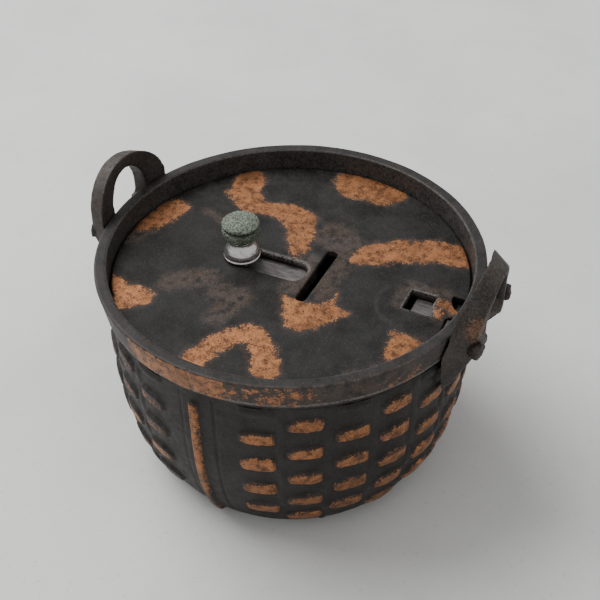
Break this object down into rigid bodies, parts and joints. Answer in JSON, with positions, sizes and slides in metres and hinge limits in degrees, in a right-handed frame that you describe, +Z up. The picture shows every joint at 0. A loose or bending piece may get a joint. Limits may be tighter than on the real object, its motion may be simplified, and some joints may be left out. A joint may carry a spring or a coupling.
{
  "type": "cast iron basket money box",
  "caption": "Round cast-iron money box shaped like a woven basket, with loop handles and a sunken lid that has a coin slot, a sliding knob bolt and a windowed catch.",
  "frame": {"origin": "under the middle of the foot, on the surface the box stands on", "axes": "+Z up, +X through the middle of the loop handles from the knob towards the catch window, +Y to the back"},
  "size_m": [0.1053, 0.095, 0.0693],
  "materials": {
    "basket_iron": "black japanned cast iron with worn copper electroplate on the collar and the raised weave strips",
    "handle_iron": "worn black and brown cast iron",
    "rivet_iron": "rough iron rivet heads with traces of copper",
    "lid_iron": "mottled black japanning over copper plate in large curved patches",
    "plate_steel": "dull flat steel plate",
    "strap_steel": "dark plain steel",
    "screw_steel": "plain steel, lightly stained",
    "nickel": "worn bright nickel plate",
    "aged_brass": "brass under a rough green verdigris crust"
  },
  "bodies": {
    "basket": {"basket_shell": "basket_iron", "handle_right": "handle_iron", "handle_left": "handle_iron", "handle_rivet_right_front": "rivet_iron", "handle_rivet_right_back": "rivet_iron", "handle_rivet_left_front": "rivet_iron", "handle_rivet_left_back": "rivet_iron"},
    "lid": {"lid_plate": "lid_iron", "bolt_keeper_left": "strap_steel", "bolt_keeper_right": "strap_steel", "catch_keeper": "strap_steel", "bolt_keeper_left_screw_front": "screw_steel", "bolt_keeper_left_screw_back": "screw_steel", "bolt_keeper_right_screw_front": "screw_steel", "bolt_keeper_right_screw_back": "screw_steel", "catch_keeper_screw_front": "screw_steel", "catch_keeper_screw_back": "screw_steel"},
    "bolt": {"lock_bolt": "plate_steel", "knob_stem": "strap_steel", "knob_skirt": "nickel", "knob_head": "aged_brass"},
    "catch": {"catch_plate": "plate_steel"}
  },
  "joints": [
    {"name": "lid_tilt", "type": "hinge", "parent": "basket", "child": "lid", "pos_m": [-0.0438, 0, 0.0525], "axis": [0, -1, 0], "range_deg": [0, 18]},
    {"name": "bolt_slide", "type": "slide", "parent": "lid", "child": "bolt", "axis": [1, 0, 0], "range_m": [0, 0.0148]},
    {"name": "catch_slide", "type": "slide", "parent": "lid", "child": "catch", "axis": [1, 0, 0], "range_m": [0, 0.0022]}
  ]
}
